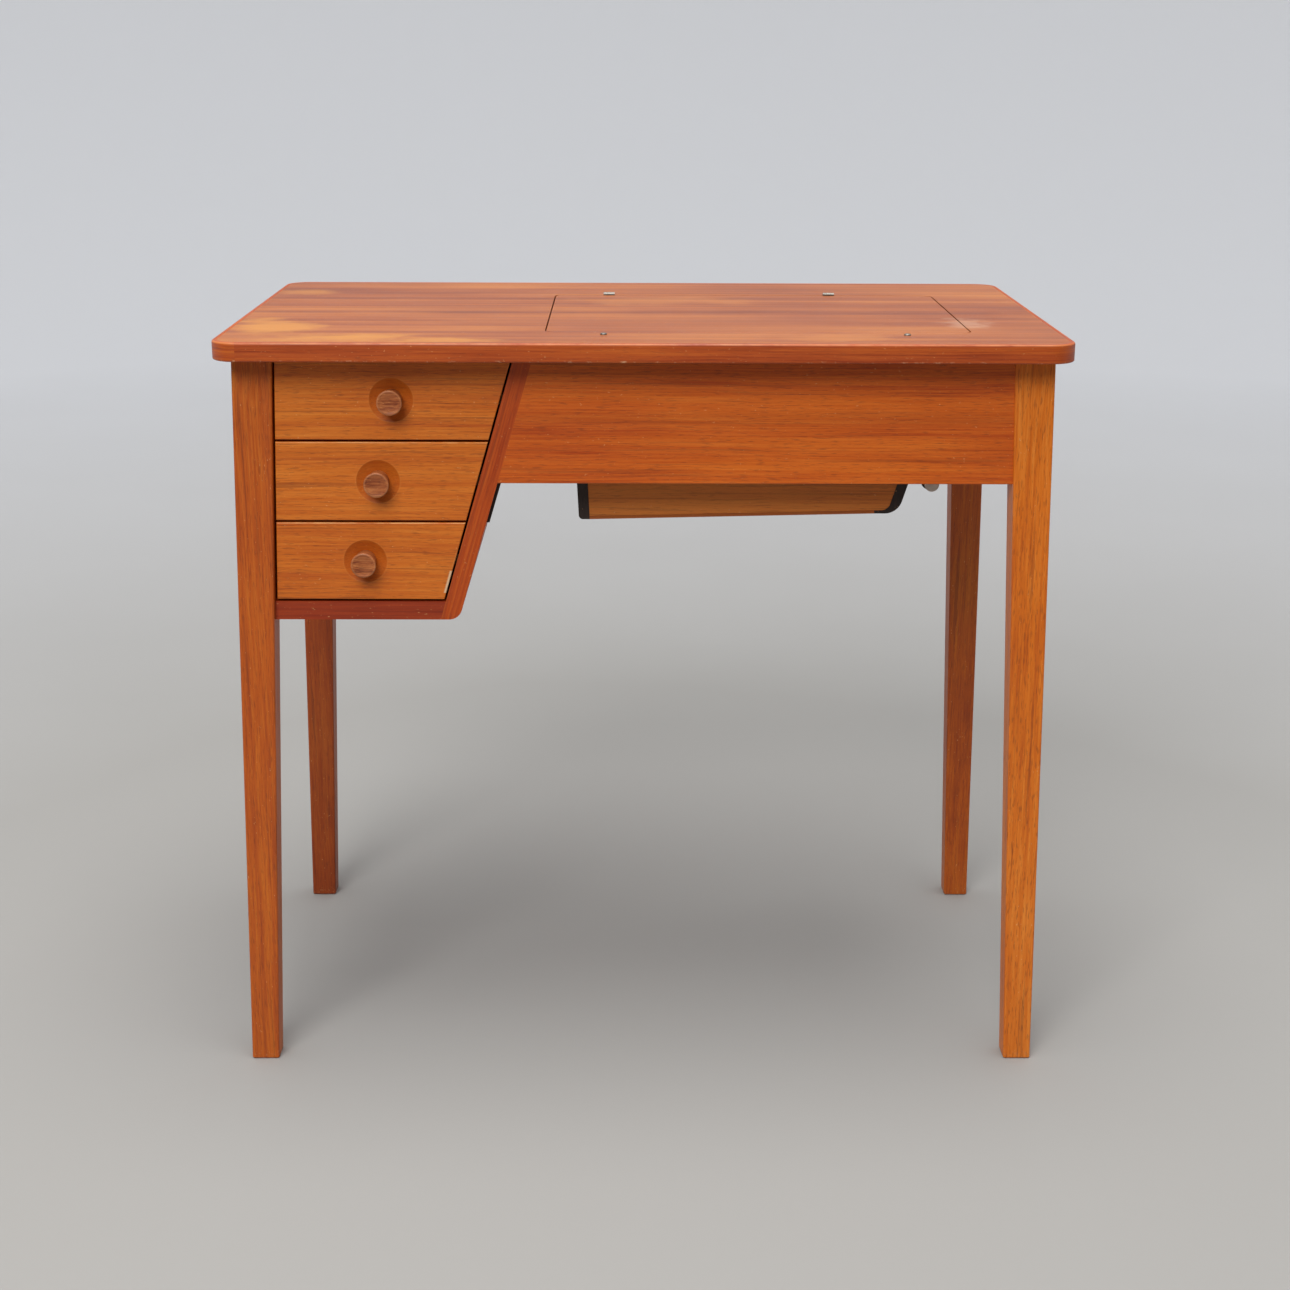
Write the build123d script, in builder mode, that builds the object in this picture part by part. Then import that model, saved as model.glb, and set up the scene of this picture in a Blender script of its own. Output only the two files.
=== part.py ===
"""Sewing table: splayed legs, a machine well under a hinged lid, and a three-drawer cabinet.

Origin on the floor under the middle of the top. +X along the length, +Z up, front towards -Y.
"""
from build123d import *
import math
import os

os.makedirs("parts", exist_ok=True)

# Top
table_length = 798
table_depth = 466
table_height = 736
top_thick = 18
corner_radius = 25
lipping_width = 5
lipping_round = 2
top_under = table_height - top_thick

# Distance of each leg face from the middle of the table: (just under the top, at the floor)
leg_outer_x = (384, 399)
leg_inner_x = (346, 371.5)
leg_outer_y = (202.5, 217.5)
leg_inner_y = (167, 192)
leg_round = 2
foot_chamfer = 1.5

# Aprons and side boards
front_plane = -201
board_thick = 16
apron_height = 119.3
side_inset = 4
arris = 1
apron_bottom = top_under - apron_height
back_plane = -front_plane

# Drawer cabinet: its right side is a panel that leans outwards towards the top
cabinet_bottom_z = 464.3
cabinet_board = 18
lean = 0.2914
panel_thick = 17
panel_inner_top = -121.5
panel_corner = 13
cabinet_back_thick = 5
cabinet_back_inset = 6
liner_thick = 3
liner_bottom = 557
cabinet_floor = cabinet_bottom_z + cabinet_board

# Drawers
drawer_gap = 2.2
end_gap = 2
front_thick = 18
box_thick = 10
box_clear = 3
box_back_y = 165
bottom_thick = 4
groove_depth = 4
runner_height = 10
runner_groove = 6
running_gap = 0.5
side_low_gap, side_top_gap = 2, 8
bottom_rise = 6
back_drop = 4
left_runner_half, right_runner_half = 164, 180
drawer_names = ("bottom", "middle", "top")
drawer_height = (top_under - cabinet_floor - 4 * drawer_gap) / 3

# Knobs, each standing in a dish turned into the drawer front
knob_radius = 12
knob_neck = 10
knob_reach = 17.5
knob_round = 1.2
knob_hollow, knob_hollow_radius = 0.6, 60
dish_radius = 21
dish_depth = 5
knob_top_x = -236.5
knob_top_z = 678
knob_line_slope = 0.19

# Lid in the top
lid_left, lid_right = -93, 311
lid_front, lid_back = -159, 121
lid_corner = 11
lid_lift = 0.3
seam = 1.2
hinge_seam = 1.8
lid_under = top_under + lid_lift

# Lid hinges: narrow butt hinges let into the back seam
hinge_x = (-36, 201)
hinge_length = 12
hinge_gap = 0.2
knuckle_radius = 2.3
pin_radius = 1
pin_clear = 0.05
leaf_thick = 1
leaf_height = 14
hinge_pocket = 3
hinge_y = lid_back + hinge_seam / 2
hinge_z = table_height + 0.8
leaf_top = table_height - 2
opening_back = lid_back + hinge_seam

# Ledges under the opening
ledge_thick = 18
ledge_left, ledge_right = -103, 334
ledge_front, ledge_back = front_plane + board_thick, 145
ledge_bottom = top_under - ledge_thick

# Machine well
well_front, well_back = -150, 115
well_end_thick = 10.5
well_skin = 4
well_floor = 3
well_left_z, well_right_z = 552, 558.3
well_left_bottom_x, well_left_lean = -62.8, 0.05
well_right_bottom_x, well_right_lean = 249, 0.31
well_heel_x = 226
heel_outer_radius, heel_inner_radius = 17, 9

# Screws: (shank radius, head radius, head height, length)
hinge_screw = (0.9, 1.8, 0.9, 10)
ledge_screw = (1.8, 3.6, 2, 30)
hook_screw = (1.4, 2.8, 1.4, 12)
knob_screw = (2, 4, 2, 25)
stud_radius, stud_head, stud_rise, stud_length = 2, 3.2, 1.6, 30
stud_spots = ((-38, -175), (248, -175))

# Steel hook behind the apron
hook_x, hook_width, hook_thick = 276, 14, 2
hook_bottom, hook_top = 588, 650
hook_screw_z = (620, 640)
pad_shift = 3

# Corner blocks
block_reach, block_height = 40, 45

# Dowels
dowel_radius = 4
dowel_length = 30
short_dowel_length = 18

hang = (Align.CENTER, Align.CENTER, Align.MAX)


def at_height(pair, z):
    """Value at height z on the straight line from pair[0] under the top to pair[1] at the floor."""
    return pair[0] + (pair[1] - pair[0]) * (top_under - z) / top_under


def panel_inner(z):
    """X of the leaning panel's drawer-side face."""
    return panel_inner_top - lean * (top_under - z)


def panel_outer(z):
    """X of the leaning panel's knee-side face."""
    return panel_inner(z) + panel_thick / math.cos(math.atan(lean))


def left_leg_face(z):
    """X of the left legs' inner face."""
    return -at_height(leg_inner_x, z)


def right_leg_face(z):
    """X of the right legs' inner face."""
    return at_height(leg_inner_x, z)


def side_board_x(z):
    """Distance of a side board's inner face from the middle of the table."""
    return at_height(leg_outer_x, z) - side_inset - board_thick


def cabinet_side_face(z):
    """X of the inner face of the cabinet's left side."""
    return -side_board_x(z)


def well_left_outer(z):
    """X of the outer face of the well's left end."""
    return well_left_bottom_x - well_left_lean * (z - well_left_z)


def well_right_outer(z):
    """X of the outer face of the well's right end."""
    return well_right_bottom_x + well_right_lean * (z - well_right_z)


def facing_front(y):
    """Sketch plane at depth y seen from the front. A negative extrusion goes towards the back."""
    return Plane.XZ.offset(-y)


def shifted(line, distance):
    """The line moved sideways along X."""
    return lambda z: line(z) + distance


def upright(x):
    """An upright line at one X."""
    return lambda z: x


def leaning_board(z_low, z_high, left, right, y_front, y_back):
    """Board from y_front to y_back whose two ends are the lines left(z) and right(z)."""
    with BuildPart() as board:
        with BuildSketch(facing_front(y_front)):
            Polygon((left(z_low), z_low), (right(z_low), z_low),
                    (right(z_high), z_high), (left(z_high), z_high), align=None)
        extrude(amount=y_front - y_back)
    return board.part


def side_board(z_low, z_high, side):
    """Board between a front and a back leg, following their taper. side is -1 for left, 1 for right."""
    with BuildPart() as board:
        for z in (z_low, z_high):
            inner = side_board_x(z)
            with BuildSketch(Plane((side * (inner + board_thick / 2), 0, z))):
                Rectangle(board_thick, 2 * at_height(leg_inner_y, z))
        loft()
    return board.part


def block(x_range, y_range, z_range):
    """Plain box between three pairs of limits."""
    with BuildPart() as box:
        with Locations((x_range[0], y_range[0], z_range[0])):
            Box(x_range[1] - x_range[0], y_range[1] - y_range[0], z_range[1] - z_range[0],
                align=(Align.MIN, Align.MIN, Align.MIN))
    return box.part


def rods(spots, radius, length):
    """Round rods, each centred on a plane and running both ways along its normal."""
    with BuildPart() as group:
        with Locations(*spots):
            Cylinder(radius, length)
    return group.part


def across_x(x, y, z):
    """Plane for a rod that lies along X."""
    return Plane(origin=(x, y, z), z_dir=(1, 0, 0))


def across_y(x, y, z):
    """Plane for a rod that lies along Y."""
    return Plane(origin=(x, y, z), z_dir=(0, 1, 0))


def screw_blanks(spots, size):
    """Countersunk screws without slots. Each spot is a plane whose normal points out of the head."""
    shank, head, head_height, length = size
    with BuildPart() as blanks:
        with Locations(*spots):
            Cylinder(shank, length, align=hang)
            Cone(shank, head, head_height, align=hang)
    return blanks.part


def slotted(blanks, spots, size):
    """The screws with a driver slot cut across each head."""
    with BuildPart() as screws:
        add(blanks)
        with Locations(*spots):
            Box(2 * size[1] + 1, size[0] / 2, size[2] / 2, align=hang, mode=Mode.SUBTRACT)
    return screws.part


def save(piece, label):
    """Label a finished piece and write its STEP file."""
    piece.label = label
    export_step(piece, f"parts/{label}.step")


# Dowels across the joints of the frame
apron_mid = front_plane + board_thick / 2
apron_dowel_z = (695, 628)
side_dowel_z = (680, 615)
cabinet_dowel_z = (680, 595, 510)
leg_dowels = []
for y in (apron_mid, -apron_mid):
    leg_dowels += [across_x(right_leg_face(z), y, z) for z in apron_dowel_z]
for side, heights in ((1, side_dowel_z), (-1, cabinet_dowel_z)):
    for end in (-1, 1):
        for z in heights:
            mid = side * (side_board_x(z) + board_thick / 2)
            leg_dowels.append(across_y(mid, end * at_height(leg_inner_y, z), z))
panel_dowels = []
for y in (apron_mid, -apron_mid):
    panel_dowels += [across_x(panel_outer(z), y, z) for z in apron_dowel_z]
floor_mid = cabinet_bottom_z + cabinet_board / 2
panel_dowels += [across_x(panel_inner(floor_mid), y, floor_mid) for y in (-150, 0, 150)]

leg_rods = rods(leg_dowels, dowel_radius, dowel_length)
panel_rods = rods(panel_dowels, dowel_radius, short_dowel_length)
with BuildPart() as frame_dowels:
    add(leg_rods)
    add(panel_rods)
save(frame_dowels.part, "frame_dowels")

# Legs: rectangles under the top and at the floor, joined by straight faces
for side_x, word_x in ((-1, "left"), (1, "right")):
    for side_y, word_y in ((-1, "front"), (1, "back")):
        with BuildPart() as leg:
            for z in (0, top_under):
                outer_x, inner_x = at_height(leg_outer_x, z), at_height(leg_inner_x, z)
                outer_y, inner_y = at_height(leg_outer_y, z), at_height(leg_inner_y, z)
                middle = (side_x * (outer_x + inner_x) / 2, side_y * (outer_y + inner_y) / 2, z)
                with BuildSketch(Plane(middle)):
                    Rectangle(outer_x - inner_x, outer_y - inner_y)
            loft()
            fillet(leg.edges().filter_by(lambda edge: edge.length > top_under / 2), leg_round)
            chamfer(leg.faces().sort_by(Axis.Z)[0].edges(), foot_chamfer)
            add(leg_rods, mode=Mode.SUBTRACT)
        save(leg.part, f"leg_{word_y}_{word_x}")

# Front apron, and the back one that mirrors it: from the leaning panel to the right leg
for label, y_near, y_far in (("front_apron", front_plane, front_plane + board_thick),
                             ("back_apron", back_plane - board_thick, back_plane)):
    blank = leaning_board(apron_bottom, top_under, panel_outer, right_leg_face, y_near, y_far)
    with BuildPart() as apron:
        add(blank)
        lower_edges = apron.faces().sort_by(Axis.Z)[0].edges().filter_by(Axis.X)
        fillet(lower_edges, arris)
        add(leg_rods, mode=Mode.SUBTRACT)
        add(panel_rods, mode=Mode.SUBTRACT)
        if label == "front_apron":
            hook_face = y_far + 2 * hook_thick
            hook_spots = [Plane(origin=(hook_x, hook_face, z), z_dir=(0, 1, 0)) for z in hook_screw_z]
            hook_blanks = screw_blanks(hook_spots, hook_screw)
            add(hook_blanks, mode=Mode.SUBTRACT)
    save(apron.part, label)

# Right apron and the cabinet's left side
for label, z_low, side in (("right_apron", apron_bottom, 1), ("cabinet_left_side", cabinet_bottom_z, -1)):
    blank = side_board(z_low, top_under, side)
    with BuildPart() as board:
        add(blank)
        lower_edges = board.faces().sort_by(Axis.Z)[0].edges().filter_by(Axis.Y)
        fillet(lower_edges, arris)
        add(leg_rods, mode=Mode.SUBTRACT)
    save(board.part, label)

# Leaning panel with a rounded lower outer corner
blank = leaning_board(cabinet_bottom_z, top_under, panel_inner, panel_outer, front_plane, back_plane)
with BuildPart() as leaning_panel:
    add(blank)
    outer_corner = leaning_panel.edges().filter_by(Axis.Y).group_by(Axis.Z)[0].sort_by(Axis.X)[-1]
    fillet(outer_corner, panel_corner)
    add(panel_rods, mode=Mode.SUBTRACT)
save(leaning_panel.part, "leaning_panel")

# Dark liner on the knee side of the panel, between the two aprons
panel_liner = leaning_board(liner_bottom, ledge_bottom, panel_outer, shifted(panel_outer, liner_thick),
                            front_plane + board_thick, back_plane - board_thick)
save(panel_liner, "panel_liner")

# Cabinet bottom: between the legs' inner faces and the panel, with a tongue to the left side board
tongue_half = at_height(leg_inner_y, cabinet_floor)
main_board = leaning_board(cabinet_bottom_z, cabinet_floor, left_leg_face, panel_inner,
                           front_plane, back_plane)
tongue = leaning_board(cabinet_bottom_z, cabinet_floor, cabinet_side_face, left_leg_face,
                       -tongue_half, tongue_half)
with BuildPart() as cabinet_bottom:
    add(main_board)
    add(tongue)
    add(panel_rods, mode=Mode.SUBTRACT)
save(cabinet_bottom.part, "cabinet_bottom")

# Cabinet back
back_y = back_plane - cabinet_back_inset
cabinet_back = leaning_board(cabinet_floor, top_under, left_leg_face, panel_inner,
                             back_y - cabinet_back_thick, back_y)
save(cabinet_back, "cabinet_back")

# Hinge and ledge screws, and the studs in front of the lid
leaf_mid = leaf_top - leaf_height / 2
table_screw_spots = [Plane(origin=(x, opening_back, leaf_mid - 1), z_dir=(0, -1, 0)) for x in hinge_x]
lid_screw_spots = [Plane(origin=(x, lid_back, leaf_mid - 1), z_dir=(0, 1, 0)) for x in hinge_x]
table_screw_blanks = screw_blanks(table_screw_spots, hinge_screw)
lid_screw_blanks = screw_blanks(lid_screw_spots, hinge_screw)
ledge_screw_xy = [(x, y) for y in (-168, 134) for x in (-80, 110, 300)]
ledge_screw_xy += [(x, y) for x in (-98.5, 324) for y in (-80, 60)]
ledge_screw_spots = [Plane(origin=(x, y, ledge_bottom), z_dir=(0, 0, -1)) for x, y in ledge_screw_xy]
ledge_screw_blanks = screw_blanks(ledge_screw_spots, ledge_screw)
for label, blanks, spots, size in (("hinge_table_screws", table_screw_blanks, table_screw_spots, hinge_screw),
                                   ("hinge_lid_screws", lid_screw_blanks, lid_screw_spots, hinge_screw),
                                   ("ledge_screws", ledge_screw_blanks, ledge_screw_spots, ledge_screw),
                                   ("hook_screws", hook_blanks, hook_spots, hook_screw)):
    save(slotted(blanks, spots, size), label)

stud_tops = [Plane(origin=(x, y, table_height)) for x, y in stud_spots]
with BuildPart() as lid_studs:
    with Locations(*stud_tops):
        Cylinder(stud_radius, stud_length, align=hang)
        Cylinder(stud_head, stud_rise, align=(Align.CENTER, Align.CENTER, Align.MIN))
    fillet(lid_studs.faces().filter_by(Axis.Z).group_by(Axis.Z)[-1].edges(), stud_rise * 0.7)
save(lid_studs.part, "lid_studs")
stud_holes = rods([Plane(origin=(x, y, table_height - stud_length / 2)) for x, y in stud_spots],
                  stud_radius, stud_length)

# Pockets round the hinge knuckles, cut from the top and from the lid
knuckle_spots = [across_x(x, hinge_y, hinge_z) for x in hinge_x]
hinge_pockets = rods(knuckle_spots, hinge_pocket, hinge_length + 1)

# Top panel with its opening
opening_centre = ((lid_left + lid_right) / 2, (lid_front - seam + opening_back) / 2)
opening_length = lid_right - lid_left + 2 * seam
opening_depth = opening_back - lid_front + seam
with BuildPart() as table_top:
    with BuildSketch(Plane.XY.offset(top_under)):
        RectangleRounded(table_length - 2 * lipping_width, table_depth - 2 * lipping_width,
                         corner_radius - lipping_width)
        with Locations(opening_centre):
            RectangleRounded(opening_length, opening_depth, lid_corner + seam, mode=Mode.SUBTRACT)
    extrude(amount=top_thick)
    add(hinge_pockets, mode=Mode.SUBTRACT)
    with BuildSketch(facing_front(opening_back)):
        with Locations(*[(x, leaf_top - leaf_height) for x in hinge_x]):
            Rectangle(hinge_length, leaf_height + 2 * leaf_thick, align=(Align.CENTER, Align.MIN))
    extrude(amount=-leaf_thick, mode=Mode.SUBTRACT)
    for hole in (table_screw_blanks, ledge_screw_blanks, stud_holes):
        add(hole, mode=Mode.SUBTRACT)
save(table_top.part, "table_top")

# Solid lipping round the top, with rounded arrises
with BuildPart() as edge_lipping:
    with BuildSketch(Plane.XY.offset(top_under)):
        RectangleRounded(table_length, table_depth, corner_radius)
    extrude(amount=top_thick)
    fillet(edge_lipping.faces().filter_by(Axis.Z).edges(), lipping_round)
    with BuildSketch(Plane.XY.offset(top_under)):
        RectangleRounded(table_length - 2 * lipping_width, table_depth - 2 * lipping_width,
                         corner_radius - lipping_width)
    extrude(amount=top_thick, mode=Mode.SUBTRACT)
save(edge_lipping.part, "edge_lipping")

# Lid
with BuildPart() as lid:
    with BuildSketch(Plane.XY.offset(lid_under)):
        with Locations(((lid_left + lid_right) / 2, (lid_front + lid_back) / 2)):
            RectangleRounded(lid_right - lid_left, lid_back - lid_front, lid_corner)
    extrude(amount=table_height - lid_under)
    fillet(lid.faces().sort_by(Axis.Z)[-1].edges(), arris / 2)
    add(hinge_pockets, mode=Mode.SUBTRACT)
    with BuildSketch(facing_front(lid_back)):
        with Locations(*[(x, leaf_top - leaf_height) for x in hinge_x]):
            Rectangle(hinge_length, leaf_height + 2 * leaf_thick, align=(Align.CENTER, Align.MIN))
    extrude(amount=leaf_thick, mode=Mode.SUBTRACT)
    add(lid_screw_blanks, mode=Mode.SUBTRACT)
save(lid.part, "lid")

# Hinge leaves. The table leaf has the middle knuckle and the lid leaf the two outer ones
middle_half = hinge_length / 6
outer_length = hinge_length / 2 - middle_half - hinge_gap
outer_offset = middle_half + hinge_gap + outer_length / 2
leaf_plans = (
    ("hinge_table_leaves", opening_back, (0,), 2 * middle_half, 0, table_screw_blanks),
    ("hinge_lid_leaves", lid_back - leaf_thick, (-outer_offset, outer_offset), outer_length,
     pin_clear, lid_screw_blanks))
for label, y_leaf, offsets, knuckle_length, bore_clear, screw_holes in leaf_plans:
    y_range = (y_leaf, y_leaf + leaf_thick)
    plates = [block((x - hinge_length / 2, x + hinge_length / 2), y_range,
                    (leaf_top - leaf_height, leaf_top)) for x in hinge_x]
    tabs = [block((x + offset - knuckle_length / 2, x + offset + knuckle_length / 2), y_range,
                  (leaf_top, hinge_z)) for x in hinge_x for offset in offsets]
    barrels = rods([across_x(x + offset, hinge_y, hinge_z) for x in hinge_x for offset in offsets],
                   knuckle_radius, knuckle_length)
    bores = rods(knuckle_spots, pin_radius + bore_clear, hinge_length + 2)
    with BuildPart() as leaves:
        for piece in plates + tabs + [barrels]:
            add(piece)
        add(bores, mode=Mode.SUBTRACT)
        add(screw_holes, mode=Mode.SUBTRACT)
    save(leaves.part, label)
save(rods(knuckle_spots, pin_radius, hinge_length), "hinge_pins")

# Ledges that carry the lid and the well
well_left_face = well_left_outer(top_under)
well_right_face = well_right_outer(top_under)
ledges = {
    "front_ledge": ((ledge_left, ledge_right), (ledge_front, well_front)),
    "back_ledge": ((ledge_left, ledge_right), (well_back, ledge_back)),
    "left_ledge": ((ledge_left, well_left_face), (well_front, well_back)),
    "right_ledge": ((well_right_face, ledge_right), (well_front, well_back)),
}
for label, (x_range, y_range) in ledges.items():
    blank = block(x_range, y_range, (ledge_bottom, top_under))
    with BuildPart() as ledge:
        add(blank)
        add(ledge_screw_blanks, mode=Mode.SUBTRACT)
        add(stud_holes, mode=Mode.SUBTRACT)
    save(ledge.part, label)

# Machine well: two thick dark ends, thin front and back, and a sloping floor sheet
well_left_inner = shifted(well_left_outer, well_end_thick)
well_right_inner = shifted(well_right_outer, -well_end_thick)
left_blank = leaning_board(well_left_z, top_under, well_left_outer, well_left_inner, well_front, well_back)
with BuildPart() as well_left_end:
    add(left_blank)
    lower_outer = well_left_end.edges().filter_by(Axis.Y).group_by(Axis.Z)[0].sort_by(Axis.X)[0]
    fillet(lower_outer, 4)
save(well_left_end.part, "well_left_end")

# The right end turns under the floor with a round heel
heel_top = well_right_z + well_floor
with BuildPart() as well_right_end:
    with BuildSketch(facing_front(well_front)) as heel_outline:
        Polygon((well_right_outer(top_under), top_under), (well_right_inner(top_under), top_under),
                (well_right_inner(heel_top), heel_top), (well_heel_x, heel_top),
                (well_heel_x, well_right_z), (well_right_outer(well_right_z), well_right_z), align=None)
        outside = heel_outline.vertices().group_by(Axis.Y)[0].sort_by(Axis.X)[-1]
        fillet(outside, heel_outer_radius)
        inside = heel_outline.vertices().sort_by_distance((well_right_inner(heel_top), heel_top))[0]
        fillet(inside, heel_inner_radius)
    extrude(amount=well_front - well_back)
save(well_right_end.part, "well_right_end")

left_foot = well_left_inner(well_left_z)
with BuildPart() as well_bottom:
    with BuildSketch(facing_front(well_front)):
        Polygon((left_foot, well_left_z), (well_heel_x, well_right_z), (well_heel_x, heel_top),
                (well_left_inner(well_left_z + well_floor), well_left_z + well_floor), align=None)
    extrude(amount=well_front - well_back)
save(well_bottom.part, "well_bottom")

for label, y_near, y_far in (("well_front", well_front + 0.5, well_front + 0.5 + well_skin),
                             ("well_back", well_back - well_skin, well_back)):
    with BuildPart() as well_skin_board:
        with BuildSketch(facing_front(y_near)):
            Polygon((well_left_inner(well_left_z + well_floor), well_left_z + well_floor),
                    (well_heel_x, heel_top), (well_right_inner(heel_top), heel_top),
                    (well_right_inner(top_under), top_under),
                    (well_left_inner(top_under), top_under), align=None)
        extrude(amount=y_near - y_far)
        add(well_right_end.part, mode=Mode.SUBTRACT)
    save(well_skin_board.part, label)

# Steel hook, with its dark pad behind it, screwed to the back of the front apron
apron_back = front_plane + board_thick
hook_plans = (("machine_hook", hook_x, apron_back, hook_bottom, hook_top),
              ("hook_pad", hook_x - pad_shift, apron_back + hook_thick, hook_bottom + 2, hook_top - 4))
for label, x, y, z_low, z_high in hook_plans:
    with BuildPart() as plate:
        with BuildSketch(facing_front(y)):
            with Locations((x, (z_low + z_high) / 2)):
                SlotOverall(z_high - z_low, hook_width, rotation=90)
        extrude(amount=-hook_thick)
        add(hook_blanks, mode=Mode.SUBTRACT)
    save(plate.part, label)

# Corner blocks glued under the ledges into the two right-hand corners
post_x, post_y = right_leg_face(top_under), at_height(leg_inner_y, top_under)
side_x = side_board_x(top_under)
with BuildPart() as corner_blocks:
    for turn in (-1, 1):
        apron_face = turn * -apron_back
        with BuildSketch(Plane.XY.offset(ledge_bottom - block_height)):
            Polygon((post_x - block_reach, apron_face), (post_x, apron_face), (post_x, turn * post_y),
                    (side_x, turn * post_y), (side_x, turn * (post_y - block_reach)), align=None)
    extrude(amount=block_height)
save(corner_blocks.part, "corner_blocks")

# Drawers and their runners
runners = {"left": [], "right": []}
box_front_y = front_plane + front_thick
for level, word in enumerate(drawer_names):
    front_low = cabinet_floor + drawer_gap + level * (drawer_height + drawer_gap)
    front_high = front_low + drawer_height
    side_low, side_high = front_low + side_low_gap, front_high - side_top_gap
    bottom_low = side_low + bottom_rise
    bottom_high = bottom_low + bottom_thick
    runner_low = (side_low + side_high - runner_height) / 2
    runner_high = runner_low + runner_height

    # The left side is upright and the right side leans with the panel
    box_left = upright(left_leg_face(front_high) + box_clear)
    box_left_inner = shifted(box_left, box_thick)
    box_right = shifted(panel_inner, -box_clear)
    box_right_inner = shifted(box_right, -box_thick)

    # Runner strips on the cabinet's left side and on the leaning panel
    reach = runner_groove - running_gap
    runners["left"].append(leaning_board(runner_low, runner_high, cabinet_side_face, shifted(box_left, reach),
                                         -left_runner_half, left_runner_half))
    runners["right"].append(leaning_board(runner_low, runner_high, shifted(box_right, -reach), panel_inner,
                                          -right_runner_half, right_runner_half))

    # Bottom sheet, let into the front and both sides
    sheet = leaning_board(bottom_low, bottom_high, shifted(box_left_inner, -groove_depth),
                          upright(box_right_inner(bottom_low) + groove_depth),
                          box_front_y - groove_depth, box_back_y)
    save(sheet, f"drawer_{word}_bottom")

    # Sides, grooved outside for the runners and inside for the bottom sheet
    groove_low, groove_high = runner_low - running_gap, runner_high + running_gap
    left_groove = leaning_board(groove_low, groove_high, box_left, shifted(box_left, runner_groove),
                                box_front_y, box_back_y)
    right_groove = leaning_board(groove_low, groove_high, shifted(box_right, -runner_groove), box_right,
                                 box_front_y, box_back_y)
    for label, near, far, groove in (("left_side", box_left, box_left_inner, left_groove),
                                     ("right_side", box_right_inner, box_right, right_groove)):
        blank = leaning_board(side_low, side_high, near, far, box_front_y, box_back_y)
        with BuildPart() as drawer_side:
            add(blank)
            add(groove, mode=Mode.SUBTRACT)
            add(sheet, mode=Mode.SUBTRACT)
        save(drawer_side.part, f"drawer_{word}_{label}")

    # Back, standing on the bottom sheet between the sides
    drawer_back = leaning_board(bottom_high, side_high - back_drop, box_left_inner, box_right_inner,
                                box_back_y - box_thick, box_back_y)
    save(drawer_back, f"drawer_{word}_back")

    # Turned knob: a short neck that widens to a face hollowed a little in the middle
    knob_z = (front_low + front_high) / 2
    knob_x = knob_top_x - knob_line_slope * (knob_top_z - knob_z)
    knob_plane = Plane(origin=(knob_x, front_plane, knob_z), x_dir=(1, 0, 0), z_dir=(0, 0, -1))
    screw_spot = [Plane(origin=(knob_x, box_front_y, knob_z), z_dir=(0, 1, 0))]
    screw_blank = screw_blanks(screw_spot, knob_screw)
    save(slotted(screw_blank, screw_spot, knob_screw), f"drawer_{word}_knob_screw")
    with BuildPart() as knob:
        with BuildSketch(knob_plane):
            with BuildLine():
                foot = Polyline((0, -dish_depth), (knob_neck, -dish_depth), (knob_neck, 0))
                flare = ThreePointArc(foot @ 1, (knob_neck + 0.6, knob_reach * 0.45),
                                      (knob_radius, knob_reach - 3))
                Polyline(flare @ 1, (knob_radius, knob_reach), (0, knob_reach), foot @ 0)
            make_face()
        revolve(axis=Axis((knob_x, front_plane, knob_z), (0, -1, 0)))
        fillet(knob.faces().sort_by(Axis.Y)[0].edges(), knob_round)
        with Locations((knob_x, front_plane - knob_reach - knob_hollow_radius + knob_hollow, knob_z)):
            Sphere(knob_hollow_radius, mode=Mode.SUBTRACT)
        add(screw_blank, mode=Mode.SUBTRACT)
    save(knob.part, f"drawer_{word}_knob")

    # Front, with the dish and the seat that the knob stands in
    dish_sphere = (dish_radius ** 2 + dish_depth ** 2) / (2 * dish_depth)
    blank = leaning_board(front_low, front_high, shifted(left_leg_face, end_gap),
                          shifted(panel_inner, -end_gap), front_plane, box_front_y)
    knob_seat = rods([across_y(knob_x, front_plane, knob_z)], knob_neck, 2 * dish_depth)
    with BuildPart() as drawer_front:
        add(blank)
        fillet(drawer_front.faces().sort_by(Axis.Y)[0].edges(), arris)
        with Locations((knob_x, front_plane - dish_sphere + dish_depth, knob_z)):
            Sphere(dish_sphere, mode=Mode.SUBTRACT)
        for cut in (knob_seat, screw_blank, sheet):
            add(cut, mode=Mode.SUBTRACT)
    save(drawer_front.part, f"drawer_{word}_front")

for side, strips in runners.items():
    with BuildPart() as runner_set:
        for strip in strips:
            add(strip)
    save(runner_set.part, f"{side}_runners")
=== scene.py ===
import math
import bmesh
import bpy
import numpy as np
from mathutils import Matrix, Vector


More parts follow.
